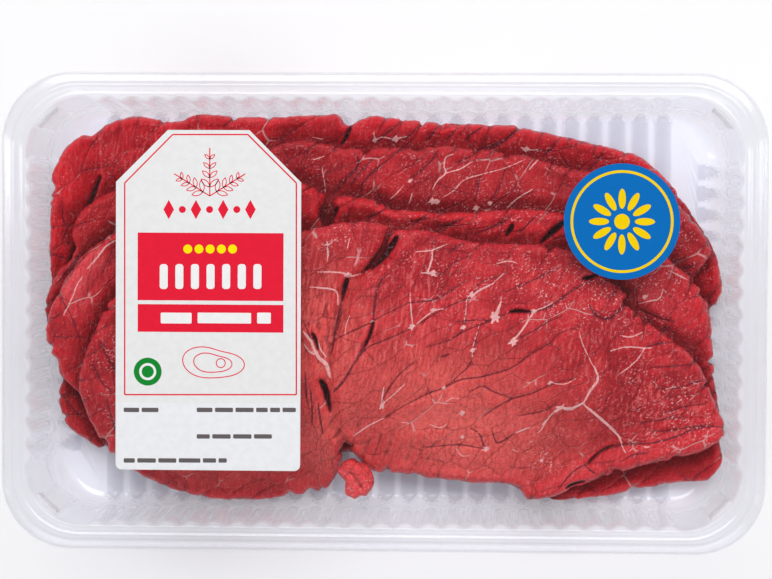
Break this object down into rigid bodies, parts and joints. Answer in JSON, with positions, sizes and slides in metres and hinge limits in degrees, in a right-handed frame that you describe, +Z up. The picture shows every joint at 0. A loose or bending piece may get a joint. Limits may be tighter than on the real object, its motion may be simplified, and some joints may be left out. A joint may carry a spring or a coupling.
{
  "type": "meat tray pack",
  "caption": "Clear fluted plastic tray of shingled raw beef slices, shut with a clear flat lid film that carries a plain paper label and a round sticker",
  "frame": {"origin": "under the middle of the tray, on the surface it rests on", "axes": "+X along the pack, towards the end with the round sticker; +Y across it, towards its rear edge; +Z up"},
  "size_m": [0.23, 0.144, 0.0402],
  "materials": {
    "tray_plastic": "clear thermoformed plastic, faintly hazy, glossy",
    "lid_film": "clear thin film, high gloss",
    "label_paper": "coated white paper printed with red fields",
    "sticker_paper": "coated paper printed blue with yellow shapes",
    "beef_dark": "moist raw beef, deep red, fine pale marbling",
    "beef_bright": "moist raw beef, lighter red, pale marbling"
  },
  "bodies": {
    "root": {"tray": "tray_plastic", "lid_film": "lid_film", "label": "label_paper", "round_sticker": "sticker_paper", "slice_1": "beef_dark", "slice_2": "beef_dark", "slice_3": "beef_dark", "slice_4": "beef_bright", "meat_scrap": "beef_bright"}
  },
  "joints": []
}
